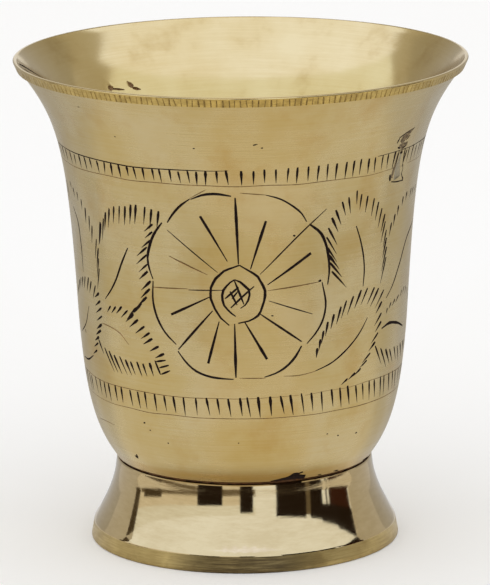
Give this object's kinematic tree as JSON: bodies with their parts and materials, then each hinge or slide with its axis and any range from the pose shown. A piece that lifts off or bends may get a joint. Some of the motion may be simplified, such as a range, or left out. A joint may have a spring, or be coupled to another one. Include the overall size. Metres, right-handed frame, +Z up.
{
  "type": "footed drinking tumbler",
  "caption": "Footed brass drinking tumbler: flared engraved bowl on a hollow flared foot, joined by a brazed neck.",
  "frame": {"origin": "centre of the foot's underside, on the turning axis", "axes": "+Z up along the turning axis, out of the mouth; -Y faces the front, where one engraved flower is centred"},
  "size_m": [0.084, 0.084, 0.091],
  "materials": {
    "bowl_brass": "lathe-turned and hand-engraved satin",
    "foot_brass": "mirror-polished flare over a satin band",
    "braze": "dark tarnished braze"
  },
  "bodies": {
    "root": {"bowl": "bowl_brass", "foot": "foot_brass", "braze_ring": "braze"}
  },
  "joints": []
}
